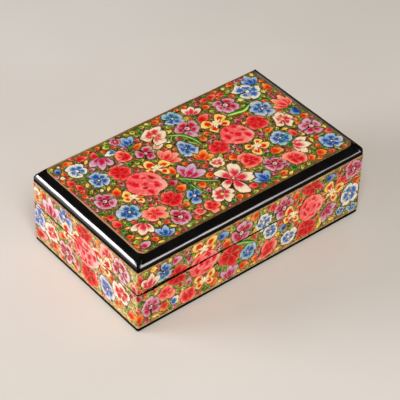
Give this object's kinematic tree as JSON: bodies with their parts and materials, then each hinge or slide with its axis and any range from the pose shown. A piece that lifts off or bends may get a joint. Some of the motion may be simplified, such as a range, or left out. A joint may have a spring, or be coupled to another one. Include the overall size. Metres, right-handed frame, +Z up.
{
  "type": "lift-off-lid keepsake box",
  "caption": "Rectangular lacquered papier mache box with a lift-off lid, bevelled black rim, inner collar and an all-over painted flower pattern on the top and sides.",
  "frame": {"origin": "centre of the underside, at the surface that the box stands on", "axes": "+X along the long side, -Y to the front, +Z up and along the lid's travel"},
  "size_m": [0.152, 0.089, 0.048],
  "materials": {
    "black_lacquer": "gloss black lacquer over pulp board",
    "painted_board": "gold ground with painted flowers under clear gloss lacquer, over pulp board"
  },
  "bodies": {
    "base": {"base_panel": "black_lacquer", "base_wall_front": "painted_board", "base_wall_back": "painted_board", "base_wall_left": "painted_board", "base_wall_right": "painted_board", "collar_front": "black_lacquer", "collar_back": "black_lacquer", "collar_left": "black_lacquer", "collar_right": "black_lacquer"},
    "lid": {"lid_panel": "black_lacquer", "lid_wall_front": "painted_board", "lid_wall_back": "painted_board", "lid_wall_left": "painted_board", "lid_wall_right": "painted_board"}
  },
  "joints": [
    {"name": "lid_lift", "type": "slide", "parent": "base", "child": "lid", "axis": [0, 0, 1], "range_m": [0, 0.06]}
  ]
}
